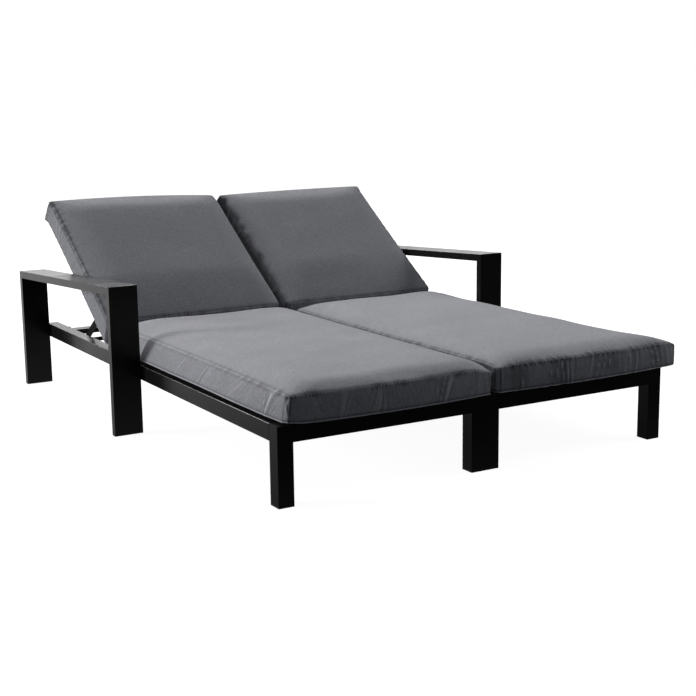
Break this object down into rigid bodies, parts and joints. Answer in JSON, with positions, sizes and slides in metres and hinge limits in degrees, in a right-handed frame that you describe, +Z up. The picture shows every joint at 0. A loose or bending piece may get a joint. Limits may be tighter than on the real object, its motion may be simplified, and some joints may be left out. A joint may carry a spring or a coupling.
{
  "type": "double chaise lounger",
  "caption": "Outdoor double chaise lounger: slatted metal frame on square legs, flat side arms, boxed grey cushions and separately reclining backs on notched stays.",
  "frame": {"origin": "on the floor, under the middle of the whole lounger's length and width", "axes": "+Z up, +Y from the foot end to the head end, +X across, to the right when seen from the foot end"},
  "size_m": [1.6, 2.01, 0.7283],
  "materials": {
    "frame_black": "matt black powder coat on aluminium tube",
    "mechanism_black": "satin black paint on steel",
    "grey_fabric": "woven outdoor polyester, mid grey, matt",
    "black_plastic": "matt moulded",
    "black_rubber": "matt",
    "bolt_steel": "zinc plated"
  },
  "bodies": {
    "frame": {"arm_bolts": "bolt_steel", "arm_glides": "black_plastic", "backrest_buffers": "black_rubber", "joining_bolts": "bolt_steel", "left_arm_front_leg": "frame_black", "left_arm_rear_leg": "frame_black", "left_arm_top": "frame_black", "left_centre_side_rail": "frame_black", "left_foot_inner_leg": "frame_black", "left_foot_outer_leg": "frame_black", "left_foot_rail": "frame_black", "left_head_cross_rail": "frame_black", "left_head_inner_leg": "frame_black", "left_outer_side_rail": "frame_black", "left_racks": "mechanism_black", "left_seat_cross_rail": "frame_black", "left_seat_cushion": "grey_fabric", "left_seat_slats": "frame_black", "leg_glides": "black_plastic", "pivot_bolts": "bolt_steel", "pivot_bushes": "black_plastic", "rack_screws": "bolt_steel", "rail_end_caps": "black_plastic", "right_arm_front_leg": "frame_black", "right_arm_rear_leg": "frame_black", "right_arm_top": "frame_black", "right_centre_side_rail": "frame_black", "right_foot_inner_leg": "frame_black", "right_foot_outer_leg": "frame_black", "right_foot_rail": "frame_black", "right_head_cross_rail": "frame_black", "right_head_inner_leg": "frame_black", "right_outer_side_rail": "frame_black", "right_racks": "mechanism_black", "right_seat_cross_rail": "frame_black", "right_seat_cushion": "grey_fabric", "right_seat_slats": "frame_black"},
    "left_backrest": {"left_back_bottom_bar": "frame_black", "left_back_cushion": "grey_fabric", "left_back_inner_stile": "frame_black", "left_back_lugs": "mechanism_black", "left_back_outer_stile": "frame_black", "left_back_slats": "frame_black", "left_back_top_bar": "frame_black", "left_stay_pins": "bolt_steel"},
    "left_stay": {"left_stay_foot_bar": "mechanism_black", "left_stay_inner_arm": "mechanism_black", "left_stay_outer_arm": "mechanism_black"},
    "right_backrest": {"right_back_bottom_bar": "frame_black", "right_back_cushion": "grey_fabric", "right_back_inner_stile": "frame_black", "right_back_lugs": "mechanism_black", "right_back_outer_stile": "frame_black", "right_back_slats": "frame_black", "right_back_top_bar": "frame_black", "right_stay_pins": "bolt_steel"},
    "right_stay": {"right_stay_foot_bar": "mechanism_black", "right_stay_inner_arm": "mechanism_black", "right_stay_outer_arm": "mechanism_black"}
  },
  "joints": [
    {"name": "left_recline", "type": "hinge", "parent": "frame", "child": "left_backrest", "pos_m": [-0.35, 0.362, 0.203], "axis": [1, 0, 0], "range_deg": [-33.8, 26.2]},
    {"name": "left_stay_swing", "type": "hinge", "parent": "left_backrest", "child": "left_stay", "pos_m": [-0.35, 0.53817, 0.32094], "axis": [1, 0, 0], "range_deg": [-52.4, 67.6]},
    {"name": "right_recline", "type": "hinge", "parent": "frame", "child": "right_backrest", "pos_m": [0.35, 0.362, 0.203], "axis": [1, 0, 0], "range_deg": [-33.8, 26.2]},
    {"name": "right_stay_swing", "type": "hinge", "parent": "right_backrest", "child": "right_stay", "pos_m": [0.35, 0.53817, 0.32094], "axis": [1, 0, 0], "range_deg": [-52.4, 67.6]}
  ],
  "couplings": [
    {"joint": "left_stay_swing", "follows": "left_recline", "ratio": -2},
    {"joint": "right_stay_swing", "follows": "right_recline", "ratio": -2}
  ]
}
